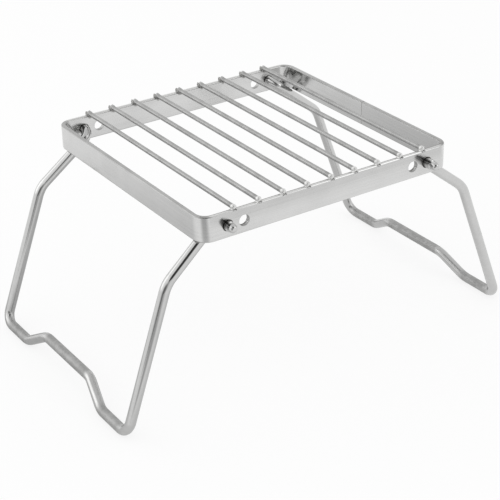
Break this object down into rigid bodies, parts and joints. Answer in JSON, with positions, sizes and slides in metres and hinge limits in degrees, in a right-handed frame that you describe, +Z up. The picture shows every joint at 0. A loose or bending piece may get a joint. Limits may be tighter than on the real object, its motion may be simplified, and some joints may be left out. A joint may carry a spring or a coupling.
{
  "type": "folding camp grill stand",
  "caption": "Small rod grate in a flat-bar steel band, standing on two bent wire legs that fold up underneath to cook over a burner or coals.",
  "frame": {"origin": "on the ground, under the middle of the whole object", "axes": "+X to the right along the front strip, +Y from the front strip to the back strip, +Z up"},
  "size_m": [0.2888, 0.1956, 0.1322],
  "materials": {
    "band_steel": "satin stainless flat bar, faint lengthwise grain",
    "rod_steel": "drawn stainless rod, dull grey, bright melted ends",
    "left_leg_steel": "polished stainless wire",
    "right_leg_steel": "polished stainless wire"
  },
  "bodies": {
    "grate": {"frame_band": "band_steel", "grate_rod_1": "rod_steel", "grate_rod_2": "rod_steel", "grate_rod_3": "rod_steel", "grate_rod_4": "rod_steel", "grate_rod_5": "rod_steel", "grate_rod_6": "rod_steel", "grate_rod_7": "rod_steel", "grate_rod_8": "rod_steel", "grate_rod_9": "rod_steel"},
    "left_leg_body": {"left_leg": "left_leg_steel"},
    "right_leg_body": {"right_leg": "right_leg_steel"}
  },
  "joints": [
    {"name": "left_leg_hinge", "type": "hinge", "parent": "grate", "child": "left_leg_body", "pos_m": [-0.072, 0, 0.1213], "axis": [0, -1, 0], "range_deg": [0, 122]},
    {"name": "right_leg_hinge", "type": "hinge", "parent": "grate", "child": "right_leg_body", "pos_m": [0.072, 0, 0.1213], "axis": [0, 1, 0], "range_deg": [0, 110]}
  ]
}
